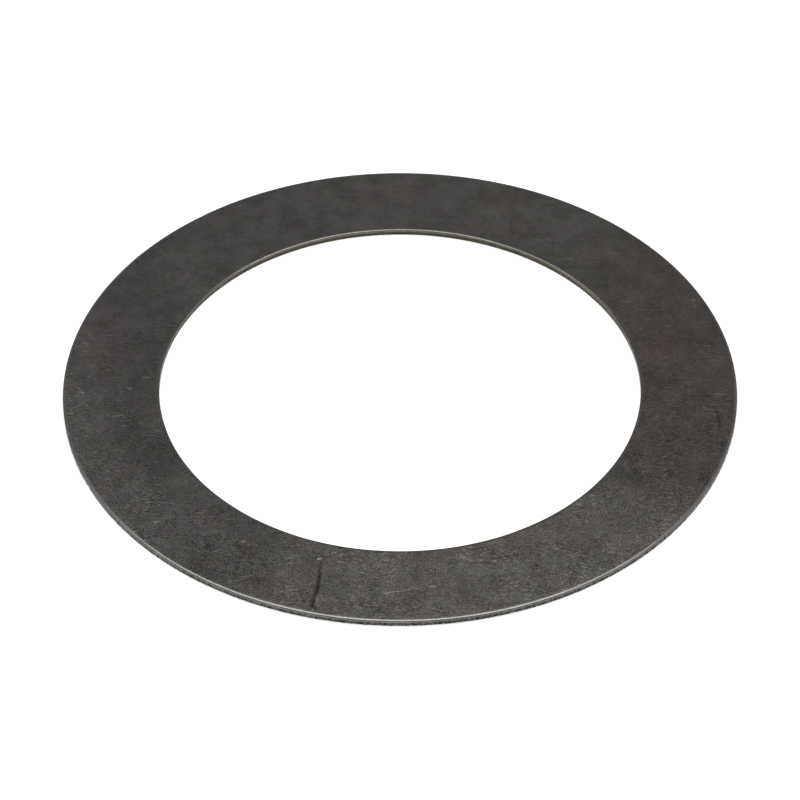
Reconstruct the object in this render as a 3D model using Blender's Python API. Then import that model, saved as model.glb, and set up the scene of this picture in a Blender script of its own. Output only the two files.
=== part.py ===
"""Thrust washer: a thin flat ring, stamped from dark steel strip and lying burr side down.

Units are metres and +Z is up. The origin is the centre of the bottom face. One stroke of the die cuts
the rim and the bore together, so both cut edges have the same section. From the top face down it is a
roll-over, where the punch drew the face in, then a smooth land that the die burnished, then a torn
band that leans away from the land and ends in small teeth at the bottom face. A single score runs
across the top face, nearly along a radius.
"""

import math

import bmesh
import bpy
from mathutils import Vector, noise

# The ring: its width runs from the bore to the rim, so the outside is 88.9 mm across
BORE_DIAMETER = 0.0635
RING_WIDTH = 0.0127
THICKNESS = 0.00081

# The section of a cut edge
ROLL_WIDTH = 0.00034
ROLL_DEPTH = 0.00014
LAND_HEIGHT = 0.0001
BREAK_TAPER = 0.00002

# How far the land's foot wanders up or down, and how far the teeth stand in or out
LAND_WAVER = 0.00005
TOOTH_DEPTH = 0.00006

# The score: its outer end is placed from the rim, and it leans from the radius there and bows a little
SCORE_LENGTH = 0.0085
SCORE_WIDTH = 0.00022
SCORE_DEPTH = 0.00004
SCORE_FROM_RIM = 0.0014
SCORE_BOW = 0.0004
SCORE_BEARING = math.radians(-105.0)
SCORE_LEAN = math.radians(9.4)
# Share of the length, and how deep the keel lies there as a share of the depth (-1 is clear above)
SCORE_KEEL = ((0.0, -1.0), (0.05, 0.7), (0.25, 1.0), (0.5, 0.85), (0.8, 0.6), (1.0, -1.0))

# Facets: steps round the ring, teeth in each step, and steps round the roll-over
SEGMENTS = 192
TEETH_PER_SEGMENT = 3
ROLL_STEPS = 4

BORE_RADIUS = BORE_DIAMETER / 2
RIM_RADIUS = BORE_RADIUS + RING_WIDTH
MIDDLE_RADIUS = (RIM_RADIUS + BORE_RADIUS) / 2
LAND_FOOT = THICKNESS - ROLL_DEPTH - LAND_HEIGHT

# Two heights or radii closer than this are the same one
SAME = 1e-6
# Perlin noise is zero at whole numbers and changes from each to the next
TEAR_GRAIN = 0.00037
WAVER_GRAIN = 0.0011
SHARP_ANGLE = math.radians(30)

STEEL_COLOUR = (0.085, 0.081, 0.074, 1.0)
STEEL_METALLIC = 0.9
STEEL_ROUGHNESS = 0.45


def clear_scene():
    for obj in list(bpy.data.objects):
        bpy.data.objects.remove(obj)


def dark_steel():
    material = bpy.data.materials.new("dark_steel")
    material.use_nodes = True
    shader = material.node_tree.nodes["Principled BSDF"]
    shader.inputs["Base Color"].default_value = STEEL_COLOUR
    shader.inputs["Metallic"].default_value = STEEL_METALLIC
    shader.inputs["Roughness"].default_value = STEEL_ROUGHNESS
    material.diffuse_color = STEEL_COLOUR
    return material


def object_from(bm, name):
    mesh = bpy.data.meshes.new(name)
    bm.to_mesh(mesh)
    bm.free()
    obj = bpy.data.objects.new(name, mesh)
    bpy.context.scene.collection.objects.link(obj)
    return obj


def cut_edge(edge_radius, outward):
    """Section of a cut edge, from the top face to the bottom, as (radius, height) pairs.

    outward is 1 on the rim, where the air is at larger radii, and -1 in the bore.
    """
    section = []
    for step in range(ROLL_STEPS + 1):
        # Each step turns the surface by the same angle, so the points gather where the ellipse bends
        turn = step / ROLL_STEPS * math.pi / 2
        angle = math.atan2(ROLL_WIDTH * math.sin(turn), ROLL_DEPTH * math.cos(turn))
        inset = ROLL_WIDTH * (1 - math.sin(angle))
        drop = ROLL_DEPTH * (1 - math.cos(angle))
        section.append((edge_radius - outward * inset, THICKNESS - drop))
    section.append((edge_radius, LAND_FOOT))
    section.append((edge_radius - outward * BREAK_TAPER, 0.0))
    return section


def radius_of(vertex):
    return vertex.co.xy.length


def at_height(vertex, height):
    return abs(vertex.co.z - height) < SAME


def spin_section(bm):
    """The plain ring: the closed section of the rim and the bore, spun about Z."""
    section = cut_edge(RIM_RADIUS, 1) + cut_edge(BORE_RADIUS, -1)[::-1]
    corners = [bm.verts.new((radius, 0.0, height)) for radius, height in section]
    sides = [bm.edges.new(pair) for pair in zip(corners, corners[1:] + corners[:1])]
    bmesh.ops.spin(
        bm,
        geom=corners + sides,
        cent=(0, 0, 0),
        axis=(0, 0, 1),
        angle=math.tau,
        steps=SEGMENTS,
        use_merge=True,
    )


def tear_edges(bm):
    """Splits both sides of the torn bands into teeth, and lets the teeth and each land's foot stray."""
    torn = []
    for edge in bm.edges:
        first, second = edge.verts
        level = any(at_height(first, height) and at_height(second, height) for height in (0.0, LAND_FOOT))
        if level and abs(radius_of(first) - radius_of(second)) < SAME:
            torn.append(edge)
    bmesh.ops.subdivide_edges(bm, edges=torn, cuts=TEETH_PER_SEGMENT - 1)

    for vertex in bm.verts:
        on_rim = radius_of(vertex) > MIDDLE_RADIUS
        if at_height(vertex, 0.0):
            # No tooth stands out past the land
            inset = max(0.0, BREAK_TAPER + TOOTH_DEPTH * noise.noise(vertex.co / TEAR_GRAIN))
            radius = RIM_RADIUS - inset if on_rim else BORE_RADIUS + inset
            vertex.co.xy = vertex.co.xy.normalized() * radius
        elif at_height(vertex, LAND_FOOT):
            vertex.co.z += LAND_WAVER * noise.noise(vertex.co / WAVER_GRAIN)


def make_ring():
    bm = bmesh.new()
    spin_section(bm)
    tear_edges(bm)
    bmesh.ops.recalc_face_normals(bm, faces=bm.faces)
    return object_from(bm, "thrust_washer")


def make_score_cutter():
    """A canoe-shaped body: its keel cuts the groove, and its gunwale stays above the top face."""
    bearing = Vector((math.cos(SCORE_BEARING), math.sin(SCORE_BEARING), 0.0))
    start = bearing * (RIM_RADIUS - SCORE_FROM_RIM) + Vector((0.0, 0.0, THICKNESS))
    heading = SCORE_BEARING + math.pi + SCORE_LEAN
    along = Vector((math.cos(heading), math.sin(heading), 0.0))
    across = Vector((along.y, -along.x, 0.0))
    up = Vector((0.0, 0.0, 1.0))

    bm = bmesh.new()
    rings = []
    for share, depth in SCORE_KEEL:
        centre = start + along * SCORE_LENGTH * share + across * SCORE_BOW * math.sin(math.pi * share)
        half_width = SCORE_WIDTH / 2 * (1 + depth)
        corners = (
            centre + up * SCORE_DEPTH - across * half_width,
            centre + up * SCORE_DEPTH + across * half_width,
            centre - up * SCORE_DEPTH * depth,
        )
        rings.append([bm.verts.new(corner) for corner in corners])
    for ring, after in zip(rings, rings[1:]):
        for side in range(3):
            following = (side + 1) % 3
            bm.faces.new((ring[side], ring[following], after[following], after[side]))
    # At both ends the three corners are one point
    bmesh.ops.remove_doubles(bm, verts=bm.verts, dist=SAME / 2)
    bmesh.ops.recalc_face_normals(bm, faces=bm.faces)
    cutter = object_from(bm, "score_cutter")
    cutter.hide_render = True
    cutter.display_type = "WIRE"
    return cutter


def main():
    clear_scene()
    washer = make_ring()
    washer.data.materials.append(dark_steel())
    groove = washer.modifiers.new("score", "BOOLEAN")
    groove.operation = "DIFFERENCE"
    groove.object = make_score_cutter()
    washer.data.shade_smooth()
    washer.data.set_sharp_from_angle(angle=SHARP_ANGLE)


main()
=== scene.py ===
"""Looks of the thrust washer: a dark stamped ring on a pale floor under one large soft lamp.

The ring is rebuilt here with a much finer section than the solid it stands for: a roll-over, a
burnished land and a torn band with its own teeth, on the rim and in the bore. Units are metres, and
the materials work in millimetres of the ring's own frame.
"""

import functools
import math
from collections import namedtuple

import bpy
import numpy as np
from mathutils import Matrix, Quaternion, Vector


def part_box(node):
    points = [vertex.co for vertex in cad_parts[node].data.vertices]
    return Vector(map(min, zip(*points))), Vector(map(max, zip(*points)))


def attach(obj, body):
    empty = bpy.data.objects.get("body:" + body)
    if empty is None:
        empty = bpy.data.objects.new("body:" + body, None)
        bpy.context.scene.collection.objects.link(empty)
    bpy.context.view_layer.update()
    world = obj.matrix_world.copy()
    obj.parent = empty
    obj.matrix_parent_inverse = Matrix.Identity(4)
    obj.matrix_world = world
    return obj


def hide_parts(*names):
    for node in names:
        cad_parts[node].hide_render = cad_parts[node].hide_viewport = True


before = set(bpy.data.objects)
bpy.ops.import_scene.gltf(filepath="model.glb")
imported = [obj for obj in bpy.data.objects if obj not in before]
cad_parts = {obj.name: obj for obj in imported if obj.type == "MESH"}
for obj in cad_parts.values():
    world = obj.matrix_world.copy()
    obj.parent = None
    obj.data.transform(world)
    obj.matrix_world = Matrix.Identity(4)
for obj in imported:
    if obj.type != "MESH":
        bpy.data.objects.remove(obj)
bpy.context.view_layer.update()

# The ring's own sizes come from its mesh in model.glb
NODE = "thrust_washer"
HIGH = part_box(NODE)[1]
TOP = HIGH.z
RIM = HIGH.x
BORE = min(vertex.co.xy.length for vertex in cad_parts[NODE].data.vertices)
MM = 1000.0

# The cut edges' section, as in the part's source
ROLL_WIDTH = 0.00034
ROLL_DEPTH = 0.00014
LAND_HEIGHT = 0.0001
BREAK_TAPER = 0.00002
# The roll-over's width and depth stray by this share, in waves of this many columns
ROLL_STRAY = 0.05
WIDTH_WAVE = 60
DEPTH_WAVE = 45
# The land's foot wanders this far, in short and in long waves
LAND_WAVER = 0.000016
SHORT_WAVE = 9
LONG_WAVE = 40
# How deep the teeth of each torn band are
RIM_TEAR = 0.000016
BORE_TEAR = 0.000005
# Coarse and fine teeth lie over one another: rows and columns of each, and the fine ones' share
COARSE_TEETH = (3.0, 3.2)
FINE_TEETH = (1.5, 1.6)
FINE_SHARE = 0.6
# The teeth reach their full depth a third of the way down the band
TEETH_ONSET = 3
# The band leans away from the land faster in this first share of its height
EARLY_LEAN = 0.25

# The score on the top face, as in the part's source
SCORE_LENGTH = 0.0085
SCORE_WIDTH = 0.00022
SCORE_DEPTH = 0.00004
SCORE_FROM_RIM = 0.0014
SCORE_BOW = 0.0004
SCORE_BEARING = math.radians(-105.0)
SCORE_LEAN = math.radians(9.4)
# How much of its depth it loses towards its inner end, and the share of its length that each tip takes
SCORE_FADE = 0.45
SCORE_TIP = 0.06
SCORE_STEPS = 14

# Facets: columns round the ring, and rows down each zone of a cut edge and across each flat face
COLUMNS = 2304
ROLL_ROWS = 7
LAND_ROWS = 2
TORN_ROWS = 6
FLAT_ROWS = 3
# Points this far inside a flat face's edges keep its shading flat
GUARD = 0.0003
SHARP_ANGLE = math.radians(15)
# How far the mesh's noise is blurred, as a share of its size
NOISE_BLUR = 0.35

# Material slots of the ring
FACE, UNDERSIDE, RIM_ROLL, RIM_LAND, RIM_TORN, BORE_ROLL, BORE_LAND, BORE_TORN = range(8)

# The photograph's camera, aimed at a point in the plane of the top face
CAMERA_HEIGHT = 0.36829
CAMERA_BACK = 0.41411
CAMERA_AIM_Y = -0.003262
CAMERA_ROLL = math.radians(-0.093)
CAMERA_LENS = 188.916
CAMERA_NEAREST = 0.01
SENSOR = 36.0

# Light
WORLD_LEVEL = 0.33
LAMP_LEVEL = 5.0
LAMP_SIZE = (1.7, 0.55)
LAMP_PLACE = (0.0, 0.42, 1.4)

# The floor lies a little over the bottom face, which then shows from below
FLOOR_SIZE = 12.0
FLOOR_OVERLAP = 0.00002
# A low round wall far away closes the horizon in views from the side
BACKDROP_RADIUS = 5.0
BACKDROP_HEIGHT = 0.6
BACKDROP_SIDES = 128
# Both are matt, and glow by the lift wherever they are looked at
STAGE_COLOUR = (0.92, 0.92, 0.92, 1.0)
STAGE_LIFT = 0.55
WHITE = (1.0, 1.0, 1.0, 1.0)

# The plain steel of each zone, before any pattern
FACE_COLOUR = (0.134, 0.129, 0.123)
ROLL_COLOUR = (0.18, 0.175, 0.167)
BORE_ROLL_COLOUR = (0.139, 0.133, 0.120)
LAND_COLOUR = (0.18, 0.175, 0.165)
BORE_LAND_COLOUR = (0.15, 0.146, 0.125)
# The torn bands are dark partly from their own torn steel and partly from painted shade of the floor
# contact under the ring
TORN_RIM_COLOUR = (0.08, 0.078, 0.072)
TORN_BORE_COLOUR = (0.066, 0.062, 0.044)
METALLIC = 1.0
FACE_ROUGHNESS = 0.25
ROLL_ROUGHNESS = 0.3
LAND_ROUGHNESS = 0.35
TORN_ROUGHNESS = 0.55
# No pattern makes the face darker than this share of its colour
DARKEST = 0.15

# Noise: how it is squeezed along x, y and z, how fine it is, per mm, and its detail and roughness
Pattern = namedtuple("Pattern", ("squeeze", "scale", "detail", "roughness"))
EVEN = (1.0, 1.0, 1.0)
DRIFT = Pattern(EVEN, 0.3, 4.0, 0.5)
BROAD = Pattern(EVEN, 0.3, 4.0, 0.8)
PEPPER = Pattern((1.0, 0.75, 1.0), 6.4, 2.0, 0.8)
STREAK = Pattern((0.75, 1.25, 1.0), 1.9, 4.0, 0.8)
FLOCK = Pattern(EVEN, 0.16, 3.0, 0.6)
BLOTCH = Pattern(EVEN, 0.4, 5.0, 0.62)
DRAG = Pattern((1.0, 1.0, 0.15), 2.4, 3.0, 0.7)
SLOW = Pattern(EVEN, 0.35, 2.0, 0.5)
TEAR = Pattern((1.0, 1.0, 0.2), 4.0, 2.0, 0.7)

# How far the drift carries the zones' edges and the marks, in mm
ZONE_DRIFT = 7.0
MARK_DRIFT = 1.2
# How far these patterns swing the lightness
BROAD_SWING = 1.38
STREAK_SWING = 1.1
DRAG_SWING = 0.9
SLOW_SWING = 0.3
# How much the pepper breaks up the marks
MARK_GRAIN = 2.2
# Strengths that change over the face: two places in mm, and the strength at each. Pepper and scratches
# fade from the near side to the far side, and the blotches grow from left to right
PEPPER_FADE = (-34.0, 28.0, 3.9, 0.507)
SCRATCH_FADE = (-34.0, 46.0, 1.05, 0.22)
BLOTCH_FADE = (-32.0, 24.0, 0.17, 0.26)
# Scratches come in flocks: where the noise lies outside and inside one, and the strength at each
FLOCK_RANGE = (0.36, 0.62, 0.45, 1.45)
# A stroke is at full strength out to this share of its reach, and most strokes are faint
STROKE_CORE = 0.3
STROKE_RARITY = 2.0
# Where the noise of the torn bands turns from dark to light, and the dark ticks' share of the contrast
TICK_RANGE = (0.4, 0.62)
TICK_DARKENING = 0.5
# Depth of the relief in metres, and its strength
DRAG_RELIEF = (0.000004, 0.5)
TEAR_RELIEF = (0.00003, 0.8)

# Zones of the face that are lighter or darker, painted sheen and tone: centre, half sizes and softness in
# mm, and the change
PAINTED_SHEEN_AND_TONE_ZONES = (
    # A painted sheen on the near side, lightest at the right and held back at the lower left
    ((18.0, -43.0), (35.0, 23.0), 0.16, 0.38),
    ((-17.0, -38.0), (12.0, 10.0), 0.5, -0.06),
    # The face's own mottled tone
    ((-47.0, -16.0), (10.0, 26.0), 0.35, 0.13),
    ((-33.0, -4.0), (6.0, 18.0), 0.5, -0.12),
    ((-34.5, -25.0), (7.0, 9.0), 0.5, 0.12),
    ((-29.0, -18.0), (5.0, 7.0), 0.5, -0.06),
    ((40.0, -2.0), (12.0, 22.0), 0.4, -0.06),
    ((8.0, 36.0), (24.0, 12.0), 0.5, 0.07),
)
# The same for the roll-overs of the rim and the bore, and for the rim's land: painted shade on the rolls'
# highlights, and a painted highlight on the land
# Painted shade that dims the rim roll's highlight at the near right and near left
RIM_ROLL_PAINTED_SHADE = (
    ((31.0, -31.0), (12.0, 12.0), 0.5, -0.2),
    ((-27.0, -35.0), (12.0, 8.0), 0.5, -0.1),
)
# A painted highlight on the near right of the land
RIM_LAND_PAINTED_HIGHLIGHT = (
    ((24.0, -36.5), (11.0, 9.0), 0.5, 0.28),
)
# Painted shade that dims the bore roll's highlight at its left and right
BORE_ROLL_PAINTED_SHADE = (
    ((-27.5, 16.5), (7.0, 9.0), 0.5, -0.36),
    ((19.0, 25.5), (7.0, 5.0), 0.5, -0.20),
    ((30.5, 9.0), (3.0, 7.0), 0.5, -0.20),
)
# Faint tints: centre, half sizes and softness in mm, and how much red, green and blue they keep
TINTS = (
    ((38.0, 8.0), (13.0, 32.0), 0.35, (1.0, 0.94, 0.90)),
    ((15.0, -43.0), (36.0, 22.5), 0.2, (1.0, 0.985, 0.955)),
    ((33.0, -32.0), (9.0, 7.0), 0.6, (1.02, 1.0, 0.985)),
    ((-1.3, 40.0), (4.5, 2.0), 0.6, (1.07, 0.95, 0.96)),
    ((13.6, 31.3), (2.5, 1.2), 0.6, (1.06, 0.97, 0.95)),
    ((13.6, 38.8), (3.5, 1.6), 0.6, (1.06, 1.01, 0.88)),
    ((-18.2, 37.8), (5.0, 2.5), 0.6, (1.02, 0.98, 1.06)),
    ((34.9, 7.1), (3.0, 3.0), 0.6, (1.08, 0.97, 1.0)),
    ((35.6, -17.0), (6.0, 5.0), 0.6, (1.03, 0.96, 1.01)),
    ((-40.0, 8.0), (3.0, 5.0), 0.6, (1.05, 0.97, 1.0)),
)
# Marks that the photograph shows one by one: both ends and the width in mm, and the change in lightness
MARKS = (
    # The first three paint shade along the score's groove
    ((-10.1, -34.0), (-10.2, -36.5), 0.38, -0.48),
    ((-10.2, -36.5), (-10.5, -38.4), 0.44, -0.62),
    ((-10.5, -38.4), (-11.1, -41.6), 0.52, -0.62),
    ((-10.6, -33.2), (-10.2, -33.15), 0.20, 3.4),
    ((-1.9, -39.6), (-0.2, -39.2), 0.16, 0.9),
    ((-0.2, -39.2), (1.5, -38.6), 0.16, 0.7),
    ((1.5, -38.6), (4.4, -38.1), 0.14, 0.35),
    ((40.1, 7.3), (41.2, 7.45), 0.16, 1.2),
    ((41.3, -2.1), (43.6, -2.2), 0.16, 0.8),
    ((39.9, -5.1), (43.0, -5.4), 0.16, 0.6),
    ((41.5, -5.5), (41.6, -8.9), 0.26, -0.40),
    ((-20.4, -30.2), (-19.5, -30.2), 0.17, 1.7),
    ((-19.4, -30.8), (-18.2, -30.7), 0.16, 0.8),
    ((-31.6, -22.9), (-28.9, -23.0), 0.16, 0.7),
    ((-31.5, -26.3), (-30.6, -26.3), 0.20, 0.8),
    ((-30.6, -30.3), (-29.9, -29.9), 0.18, 0.7),
    ((-25.7, -28.5), (-23.2, -28.0), 0.14, 0.6),
    ((-25.8, -31.7), (-23.0, -31.7), 0.14, 0.6),
    ((-20.2, -30.8), (-19.6, -29.7), 0.14, 0.5),
    ((-35.6, 8.4), (-34.9, 8.4), 0.18, 0.7),
    ((-32.7, 9.0), (-31.8, 9.0), 0.18, 0.5),
    ((-33.8, 1.3), (-33.2, 1.4), 0.18, 0.7),
    ((-35.9, -1.0), (-35.5, -1.1), 0.24, 1.8),
    ((-42.8, -0.6), (-42.2, -1.0), 0.20, 0.6),
    ((-42.1, -1.5), (-41.7, -1.7), 0.24, 1.4),
    ((-37.4, -3.8), (-36.3, -3.3), 0.16, 0.6),
    ((-37.6, -6.2), (-36.3, -6.1), 0.18, 0.8),
    ((-39.6, -5.9), (-38.8, -6.1), 0.18, 0.6),
    ((-43.6, -5.8), (-42.8, -5.8), 0.18, 0.5),
    ((-41.6, -8.6), (-40.8, -8.7), 0.18, 0.8),
    ((-28.4, 22.4), (-33.6, 18.1), 0.20, 0.22),
    ((-22.2, 37.1), (-22.0, 37.1), 0.22, 1.0),
    ((29.7, 16.8), (31.1, 16.4), 0.20, 0.7),
    ((28.5, 17.7), (29.7, 16.8), 0.18, 0.3),
    ((28.1, 26.8), (30.2, 26.9), 0.18, 0.4),
    ((31.9, 15.0), (33.3, 14.9), 0.18, 0.4),
    ((33.0, 12.7), (33.8, 13.1), 0.18, 0.5),
    ((40.7, 12.2), (41.8, 12.2), 0.20, 0.5),
    ((39.6, 15.6), (40.2, 15.5), 0.20, 0.4),
    ((40.1, 14.4), (40.0, 12.7), 0.30, -0.20),
    ((34.7, 18.7), (34.9, 18.6), 0.40, -0.25),
    ((18.8, 29.5), (21.2, 29.7), 0.16, 0.4),
    ((-1.8, 37.8), (-1.9, 34.7), 0.40, -0.14),
    ((-12.3, 38.2), (-12.2, 35.6), 0.36, -0.16),
)
# Light and dark strokes from handling: direction in degrees, cell in mm, reach and change in lightness
STROKES = (
    (2.0, (6.0, 0.55), 0.14, 1.1),
    (-3.0, (2.4, 0.40), 0.20, 0.9),
    (5.0, (1.5, 0.34), 0.24, 0.6),
    (16.0, (1.9, 0.45), 0.20, 1.0),
    (-30.0, (1.6, 0.5), 0.18, 0.9),
    (62.0, (1.3, 0.55), 0.16, 0.7),
    (1.0, (1.4, 0.5), 0.26, -0.40),
    (86.0, (1.0, 0.8), 0.20, -0.35),
)


# Noise for the mesh

def ring_noise(wide, seed):
    """Noise with unit spread round the ring, wide columns in size."""
    return band_noise(1, 1, wide, seed)[0]


def band_noise(rows, tall, wide, seed):
    """Noise with unit spread on a band: periodic round the ring, tall by wide in rows and columns."""
    field = np.random.default_rng(seed).standard_normal((rows, COLUMNS))
    down = np.fft.fftfreq(rows)[:, None] * tall
    across = np.fft.fftfreq(COLUMNS)[None, :] * wide
    kept = np.exp(-0.5 * (math.tau * NOISE_BLUR) ** 2 * (down**2 + across**2))
    field = np.fft.ifft2(np.fft.fft2(field) * kept).real
    return field / field.std()


# The ring's mesh

def cut_edge(edge_radius, outward, tear_depth, seed):
    """Rows of one cut edge from the top face to the bottom: radii and heights, a value for each column.

    outward is 1 on the rim, where the air is at larger radii, and -1 in the bore.
    """
    width = ROLL_WIDTH * (1 + ROLL_STRAY * ring_noise(WIDTH_WAVE, seed))
    depth = ROLL_DEPTH * (1 + ROLL_STRAY * ring_noise(DEPTH_WAVE, seed + 1))
    waver = ring_noise(SHORT_WAVE, seed + 2) + ring_noise(LONG_WAVE, seed + 3)
    foot = TOP - ROLL_DEPTH - LAND_HEIGHT + LAND_WAVER * waver
    tears = band_noise(TORN_ROWS, *COARSE_TEETH, seed + 4)
    tears += FINE_SHARE * band_noise(TORN_ROWS, *FINE_TEETH, seed + 5)

    radii, heights = [], []
    for step in range(ROLL_ROWS + 1):
        # Each step turns the surface by the same angle, so the points gather where the ellipse bends
        turn = step / ROLL_ROWS * math.pi / 2
        angle = np.arctan2(width * math.sin(turn), depth * math.cos(turn))
        radii.append(edge_radius - outward * width * (1 - np.sin(angle)))
        heights.append(TOP - depth * (1 - np.cos(angle)))
    land_top = heights[-1]
    for step in range(1, LAND_ROWS + 1):
        radii.append(np.full(COLUMNS, edge_radius))
        heights.append(land_top + (foot - land_top) * step / LAND_ROWS)
    for step in range(1, TORN_ROWS + 1):
        share = step / TORN_ROWS
        lean = min(EARLY_LEAN, share) + (1 - EARLY_LEAN) * share
        inset = BREAK_TAPER * lean + tear_depth * tears[step - 1] * min(1.0, share * TEETH_ONSET)
        # No tooth stands out past the land
        radii.append(edge_radius - outward * np.maximum(inset, 0.0))
        heights.append(foot * (1 - share))
    return radii, heights


def ring_rows():
    """The whole closed section, row by row: rim, bottom face, bore, top face."""
    rim_radii, rim_heights = cut_edge(RIM, 1, RIM_TEAR, seed=10)
    bore_radii, bore_heights = cut_edge(BORE, -1, BORE_TEAR, seed=30)
    rows = list(zip(rim_radii, rim_heights))
    for radius in (RIM - BREAK_TAPER - GUARD, BORE + BREAK_TAPER + GUARD):
        rows.append((np.full(COLUMNS, radius), np.zeros(COLUMNS)))
    rows += list(zip(bore_radii, bore_heights))[::-1]
    for radius in (BORE + ROLL_WIDTH + GUARD, RIM - ROLL_WIDTH - GUARD):
        rows.append((np.full(COLUMNS, radius), np.full(COLUMNS, TOP)))
    return rows


def row_slots():
    """The material slot of each row of faces, in the order of ring_rows."""
    rim = [RIM_ROLL] * ROLL_ROWS + [RIM_LAND] * LAND_ROWS + [RIM_TORN] * TORN_ROWS
    bore = [BORE_TORN] * TORN_ROWS + [BORE_LAND] * LAND_ROWS + [BORE_ROLL] * ROLL_ROWS
    return rim + [UNDERSIDE] * FLAT_ROWS + bore + [FACE] * FLAT_ROWS


def ring_mesh():
    """The section's rows joined up round the ring, each row of faces with its material slot."""
    rows = ring_rows()
    angles = np.arange(COLUMNS) / COLUMNS * math.tau
    points = np.empty((len(rows), COLUMNS, 3))
    for index, (radii, heights) in enumerate(rows):
        points[index] = np.stack((radii * np.cos(angles), radii * np.sin(angles), heights), axis=1)
    here = np.arange(len(rows) * COLUMNS).reshape(len(rows), COLUMNS)
    right = np.roll(here, -1, axis=1)
    below = np.roll(here, -1, axis=0)
    corner = np.roll(right, -1, axis=0)
    faces = np.stack((here, below, corner, right), axis=-1)
    mesh = bpy.data.meshes.new("washer_skin")
    mesh.from_pydata(points.reshape(-1, 3).tolist(), [], faces.reshape(-1, 4).tolist())
    slots = np.repeat(np.array(row_slots(), np.int32), COLUMNS)
    mesh.polygons.foreach_set("material_index", slots)
    return mesh


def link(name, data):
    obj = bpy.data.objects.new(name, data)
    bpy.context.scene.collection.objects.link(obj)
    return obj


def score_depth(share):
    """How deep the keel lies along the score, as a share of its full depth; -1 is clear above the face."""
    keel = 1 - SCORE_FADE * share
    tip = min(share, 1 - share) / SCORE_TIP
    return keel if tip >= 1 else -1 + (keel + 1) * math.sin(tip * math.pi / 2)


def score_cutter():
    """A canoe-shaped body: its keel cuts the groove, and its gunwale stays above the top face."""
    bearing = Vector((math.cos(SCORE_BEARING), math.sin(SCORE_BEARING), 0.0))
    start = bearing * (RIM - SCORE_FROM_RIM) + Vector((0.0, 0.0, TOP))
    heading = SCORE_BEARING + math.pi + SCORE_LEAN
    along = Vector((math.cos(heading), math.sin(heading), 0.0))
    across = Vector((along.y, -along.x, 0.0))
    up = Vector((0.0, 0.0, 1.0))
    points, faces = [], []
    for step in range(SCORE_STEPS + 1):
        share = step / SCORE_STEPS
        depth = score_depth(share)
        centre = start + along * SCORE_LENGTH * share + across * SCORE_BOW * math.sin(math.pi * share)
        if step in (0, SCORE_STEPS):
            points.append(centre + up * SCORE_DEPTH)
            continue
        half_width = SCORE_WIDTH / 2 * (1 + depth)
        points.append(centre + up * SCORE_DEPTH - across * half_width)
        points.append(centre + up * SCORE_DEPTH + across * half_width)
        points.append(centre - up * SCORE_DEPTH * depth)
    last = len(points) - 1
    for side in range(3):
        following = (side + 1) % 3
        faces.append((0, 1 + side, 1 + following))
        for ring in range(1, last - 3, 3):
            faces.append((ring + side, ring + 3 + side, ring + 3 + following, ring + following))
        faces.append((last, last - 3 + following, last - 3 + side))
    mesh = bpy.data.meshes.new("score_cutter")
    mesh.from_pydata(points, [], faces)
    return link("score_cutter", mesh)


def cut_score(ring):
    """Cuts the score into the ring's mesh for good."""
    cutter = score_cutter()
    groove = ring.modifiers.new("score", "BOOLEAN")
    groove.operation = "DIFFERENCE"
    groove.object = cutter
    evaluated = ring.evaluated_get(bpy.context.evaluated_depsgraph_get())
    scored = bpy.data.meshes.new_from_object(evaluated)
    ring.modifiers.clear()
    ring.data = scored
    bpy.data.objects.remove(cutter)


def make_ring():
    ring = link("washer_skin", ring_mesh())
    # In the order of the material slots
    finishes = (
        face_steel("top_face", PAINTED_SHEEN_AND_TONE_ZONES, TINTS, MARKS),
        face_steel("underside", (), (), ()),
        worn_steel("rim_roll", ROLL_COLOUR, ROLL_ROUGHNESS, RIM_ROLL_PAINTED_SHADE),
        worn_steel("rim_land", LAND_COLOUR, LAND_ROUGHNESS, RIM_LAND_PAINTED_HIGHLIGHT),
        torn_steel("rim_torn", TORN_RIM_COLOUR, contrast=1.0),
        worn_steel("bore_roll", BORE_ROLL_COLOUR, ROLL_ROUGHNESS, BORE_ROLL_PAINTED_SHADE),
        worn_steel("bore_land", BORE_LAND_COLOUR, LAND_ROUGHNESS, ()),
        torn_steel("bore_torn", TORN_BORE_COLOUR, contrast=0.3),
    )
    for material in finishes:
        ring.data.materials.append(material)
    cut_score(ring)
    ring.data.shade_smooth()
    ring.data.set_sharp_from_angle(angle=SHARP_ANGLE)
    return ring


# Materials

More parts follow.
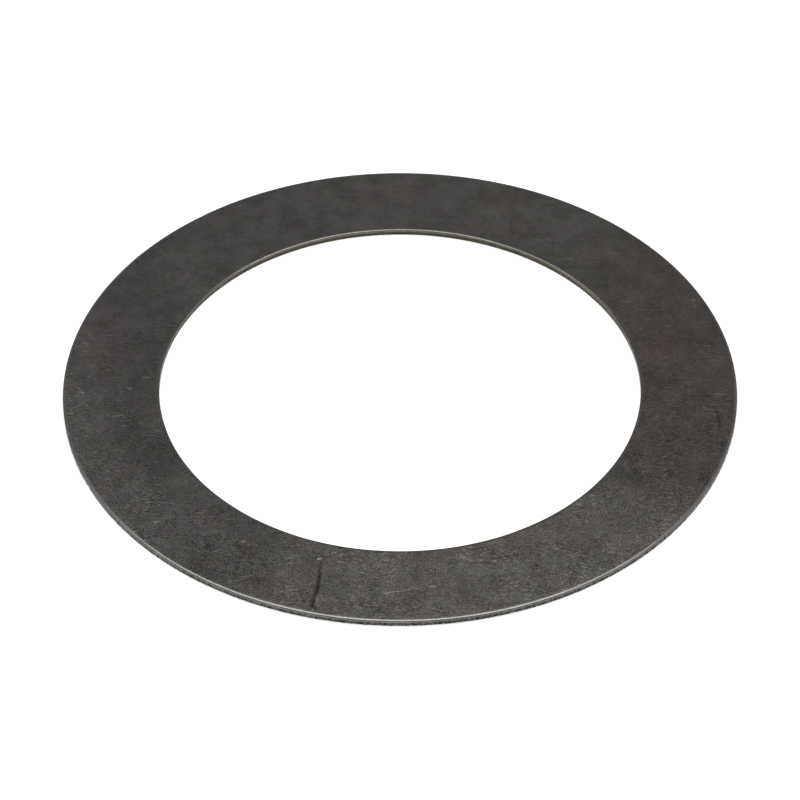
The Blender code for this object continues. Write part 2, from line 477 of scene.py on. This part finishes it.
class Graph:
    """Short calls for building the nodes of one material."""

    def __init__(self, name):
        self.material = bpy.data.materials.new(name)
        self.material.use_nodes = True
        self.tree = self.material.node_tree

    @functools.cached_property
    def mm(self):
        """Places on the ring in millimetres."""
        return self.vector("SCALE", self.node("ShaderNodeTexCoord").outputs["Object"], scale=MM)

    def node(self, kind, inputs=None, **settings):
        made = self.tree.nodes.new(kind)
        for name, value in settings.items():
            setattr(made, name, value)
        for socket, value in (inputs or {}).items():
            self.feed(made.inputs[socket], value)
        return made

    def feed(self, socket, value):
        if isinstance(value, bpy.types.NodeSocket):
            self.tree.links.new(value, socket)
        else:
            socket.default_value = value

    def finish(self, inputs):
        """Feeds the material's shader, and returns the material."""
        shader = self.tree.nodes["Principled BSDF"]
        for name, value in inputs.items():
            self.feed(shader.inputs[name], value)
        return self.material

    def math(self, operation, *values):
        return self.node("ShaderNodeMath", dict(enumerate(values)), operation=operation).outputs[0]

    def vector(self, operation, *values, scale=None):
        made = self.node("ShaderNodeVectorMath", dict(enumerate(values)), operation=operation)
        if scale is not None:
            self.feed(made.inputs["Scale"], scale)
        return made.outputs["Value" if operation in ("LENGTH", "DOT_PRODUCT") else "Vector"]

    def noise_node(self, pattern):
        return self.node(
            "ShaderNodeTexNoise",
            {
                "Vector": self.vector("MULTIPLY", self.mm, pattern.squeeze),
                "Scale": pattern.scale,
                "Detail": pattern.detail,
                "Roughness": pattern.roughness,
            },
        )

    def noise(self, pattern):
        """Noise about one half."""
        return self.noise_node(pattern).outputs["Fac"]

    def noise_about_zero(self, pattern):
        return self.math("SUBTRACT", self.noise(pattern), 0.5)

    def colour_noise(self, pattern):
        """Noise about zero in three channels."""
        return self.vector("SUBTRACT", self.noise_node(pattern).outputs["Color"], (0.5, 0.5, 0.5))

    def swing(self, noise, amount):
        """Turns noise about one half into a factor about one."""
        return self.math("MULTIPLY_ADD", self.math("SUBTRACT", noise, 0.5), amount, 1.0)

    def ramp(self, value, low, high, at_low, at_high):
        """A smooth step from at_low to at_high as value goes from low to high."""
        made = self.node(
            "ShaderNodeMapRange",
            {"Value": value, "From Min": low, "From Max": high, "To Min": at_low, "To Max": at_high},
            interpolation_type="SMOOTHSTEP",
        )
        return made.outputs["Result"]

    def patch(self, place, centre, size, soft):
        """1 inside an ellipse on the face, fading out over the share soft of its size."""
        away = self.vector("SUBTRACT", place, (*centre, 0.0))
        away = self.vector("MULTIPLY", away, (1 / size[0], 1 / size[1], 0.0))
        return self.ramp(self.vector("LENGTH", away), 1 - soft, 1 + soft, 1.0, 0.0)

    def line(self, place, start, end, width):
        """1 on a straight mark between two points of the face, soft at its sides."""
        span = Vector((end[0] - start[0], end[1] - start[1], 0.0))
        away = self.vector("SUBTRACT", place, (*start, 0.0))
        share = self.vector("DOT_PRODUCT", away, tuple(span / span.length_squared))
        share = self.math("MAXIMUM", self.math("MINIMUM", share, 1.0), 0.0)
        gap = self.vector("SUBTRACT", away, self.vector("SCALE", tuple(span), scale=share))
        gap = self.vector("LENGTH", self.vector("MULTIPLY", gap, (1.0, 1.0, 0.0)))
        return self.ramp(gap, 0.0, width, 1.0, 0.0)

    def strokes(self, place, turn, cell, reach):
        """Short strokes in one direction, scattered one to a cell, each as strong as chance has it."""
        turned = self.node(
            "ShaderNodeVectorRotate", {"Vector": place, "Angle": turn}, rotation_type="Z_AXIS"
        ).outputs["Vector"]
        drawn = self.vector("MULTIPLY", turned, (1 / cell[0], 1 / cell[1], 0.0))
        cells = self.node(
            "ShaderNodeTexVoronoi", {"Vector": drawn, "Scale": 1.0}, voronoi_dimensions="2D"
        ).outputs
        chance = self.node("ShaderNodeSeparateColor", {"Color": cells["Color"]}).outputs["Red"]
        stroke = self.ramp(cells["Distance"], reach * STROKE_CORE, reach, 1.0, 0.0)
        return self.math("MULTIPLY", stroke, self.math("POWER", chance, STROKE_RARITY))

    def bump(self, height, depth, strength):
        made = self.node("ShaderNodeBump", {"Height": height, "Distance": depth, "Strength": strength})
        return made.outputs["Normal"]


def zone_level(graph, place, zones):
    """Lightness of the zones: painted sheen, shade and highlights, and the face's own mottled tone."""
    level = 1.0
    for centre, size, soft, change in zones:
        level = graph.math("MULTIPLY_ADD", graph.patch(place, centre, size, soft), change, level)
    return level


def grain_level(graph, place, across, pepper):
    """Lightness of the grain and the scratches, which fade towards the far side."""
    scratches = graph.math("MULTIPLY", graph.noise_about_zero(STREAK), STREAK_SWING)
    for turn, cell, reach, change in STROKES:
        strokes = graph.strokes(place, math.radians(turn), cell, reach)
        scratches = graph.math("MULTIPLY_ADD", strokes, change, scratches)
    flock = graph.ramp(graph.noise(FLOCK), *FLOCK_RANGE)
    strength = graph.math("MULTIPLY", graph.ramp(across, *SCRATCH_FADE), flock)
    fine = graph.math("MULTIPLY", pepper, graph.ramp(across, *PEPPER_FADE))
    fine = graph.math("MULTIPLY_ADD", scratches, strength, fine)
    broad = graph.math("MULTIPLY", graph.noise_about_zero(BROAD), BROAD_SWING)
    return graph.math("ADD", graph.math("ADD", broad, fine), 1.0)


def mark_level(graph, place, marks, pepper):
    """Lightness of the single marks, broken up by the pepper."""
    broken = graph.math("MULTIPLY_ADD", pepper, MARK_GRAIN, 1.0)
    level = 1.0
    for start, end, width, change in marks:
        mark = graph.math("MULTIPLY", graph.line(place, start, end, width), broken)
        level = graph.math("MULTIPLY", level, graph.math("MULTIPLY_ADD", mark, change, 1.0))
    return level


def tinted_colour(graph, place, along, tints):
    """The face's colour with its tints and blotches."""
    colour = FACE_COLOUR
    for centre, size, soft, kept in tints:
        change = tuple(share - 1 for share in kept)
        tint = graph.vector("SCALE", change, scale=graph.patch(place, centre, size, soft))
        colour = graph.vector("MULTIPLY", colour, graph.vector("ADD", tint, (1.0, 1.0, 1.0)))
    blotch = graph.vector("SCALE", graph.colour_noise(BLOTCH), scale=graph.ramp(along, *BLOTCH_FADE))
    return graph.vector("MULTIPLY", colour, graph.vector("ADD", blotch, (1.0, 1.0, 1.0)))


def face_steel(name, zones, tints, marks):
    """Dark strip steel, grained and scratched, with a painted sheen among its zones and painted shade in
    the score among its marks.
    """
    graph = Graph(name)
    drift = graph.colour_noise(DRIFT)
    warped = graph.vector("ADD", graph.mm, graph.vector("SCALE", drift, scale=ZONE_DRIFT))
    bent = graph.vector("ADD", graph.mm, graph.vector("SCALE", drift, scale=MARK_DRIFT))
    spot = graph.node("ShaderNodeSeparateXYZ", {"Vector": warped}).outputs
    pepper = graph.noise_about_zero(PEPPER)

    level = zone_level(graph, warped, zones)
    level = graph.math("MULTIPLY", level, grain_level(graph, bent, spot["Y"], pepper))
    level = graph.math("MULTIPLY", level, mark_level(graph, bent, marks, pepper))
    level = graph.math("MAXIMUM", level, DARKEST)
    colour = graph.vector("SCALE", tinted_colour(graph, warped, spot["X"], tints), scale=level)
    return graph.finish({"Base Color": colour, "Roughness": FACE_ROUGHNESS, "Metallic": METALLIC})


def worn_steel(name, tint, roughness, zones):
    """Steel that the die rubbed smooth, with a fine drag down the edge and with the painted shade and
    highlight of its zones.
    """
    graph = Graph(name)
    drag = graph.noise(DRAG)
    level = graph.math("MULTIPLY", zone_level(graph, graph.mm, zones), graph.swing(drag, DRAG_SWING))
    level = graph.math("MULTIPLY", level, graph.swing(graph.noise(SLOW), SLOW_SWING))
    colour = graph.vector("SCALE", tint, scale=level)
    normal = graph.bump(drag, *DRAG_RELIEF)
    return graph.finish(
        {"Base Color": colour, "Roughness": roughness, "Metallic": METALLIC, "Normal": normal}
    )


def torn_steel(name, tint, contrast):
    """Steel that broke away from the die, with ticks that run down the edge, its dark colour partly
    painted shade of the floor contact.
    """
    graph = Graph(name)
    tear = graph.noise(TEAR)
    ticks = graph.ramp(tear, *TICK_RANGE, 1 - contrast * TICK_DARKENING, 1 + contrast)
    colour = graph.vector("SCALE", tint, scale=ticks)
    depth, strength = TEAR_RELIEF
    normal = graph.bump(tear, depth * contrast, strength)
    return graph.finish(
        {"Base Color": colour, "Roughness": TORN_ROUGHNESS, "Metallic": METALLIC, "Normal": normal}
    )


def pale_matt():
    """Matt white that glows wherever it is looked at, so that it comes out plain."""
    graph = Graph("pale_floor")
    path = graph.node("ShaderNodeLightPath").outputs
    seen = graph.math("MAXIMUM", path["Is Camera Ray"], path["Is Glossy Ray"])
    seen = graph.math("MAXIMUM", seen, path["Is Transmission Ray"])
    return graph.finish(
        {
            "Base Color": STAGE_COLOUR,
            "Roughness": 1.0,
            "Specular IOR Level": 0.0,
            "Emission Color": WHITE,
            "Emission Strength": graph.math("MULTIPLY", seen, STAGE_LIFT),
        }
    )


# Stage, light and camera

def make_stage():
    material = pale_matt()
    bpy.ops.mesh.primitive_plane_add(size=FLOOR_SIZE, location=(0.0, 0.0, FLOOR_OVERLAP))
    floor = bpy.context.object
    floor.name = "floor"
    floor.data.materials.append(material)
    bpy.ops.mesh.primitive_cylinder_add(
        vertices=BACKDROP_SIDES,
        radius=BACKDROP_RADIUS,
        depth=BACKDROP_HEIGHT,
        end_fill_type="NOTHING",
        location=(0.0, 0.0, BACKDROP_HEIGHT / 2),
    )
    backdrop = bpy.context.object
    backdrop.name = "backdrop"
    backdrop.data.materials.append(material)


def make_light():
    world = bpy.data.worlds.new("plain_world")
    world.use_nodes = True
    world.node_tree.nodes["Background"].inputs["Color"].default_value = WHITE
    world.node_tree.nodes["Background"].inputs["Strength"].default_value = WORLD_LEVEL
    bpy.context.scene.world = world
    lamp = bpy.data.lights.new("soft_lamp", "AREA")
    lamp.shape = "RECTANGLE"
    lamp.size, lamp.size_y = LAMP_SIZE
    lamp.energy = LAMP_LEVEL * math.pi * lamp.size * lamp.size_y
    holder = link("soft_lamp", lamp)
    holder.location = LAMP_PLACE
    holder.rotation_euler = (-holder.location).to_track_quat("-Z", "Y").to_euler()


def make_camera():
    data = bpy.data.cameras.new("camera")
    data.sensor_width = SENSOR
    data.lens = CAMERA_LENS
    data.clip_start = CAMERA_NEAREST
    camera = link("camera", data)
    aim = Vector((0.0, CAMERA_AIM_Y, TOP))
    camera.location = (0.0, -CAMERA_BACK, TOP + CAMERA_HEIGHT)
    camera.rotation_mode = "QUATERNION"
    facing = (aim - camera.location).to_track_quat("-Z", "Y")
    camera.rotation_quaternion = facing @ Quaternion((0.0, 0.0, 1.0), CAMERA_ROLL)
    bpy.context.scene.camera = camera


bpy.context.scene.view_settings.view_transform = "Standard"
make_camera()
make_light()
make_stage()
washer = make_ring()
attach(washer, "root")
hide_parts(NODE)
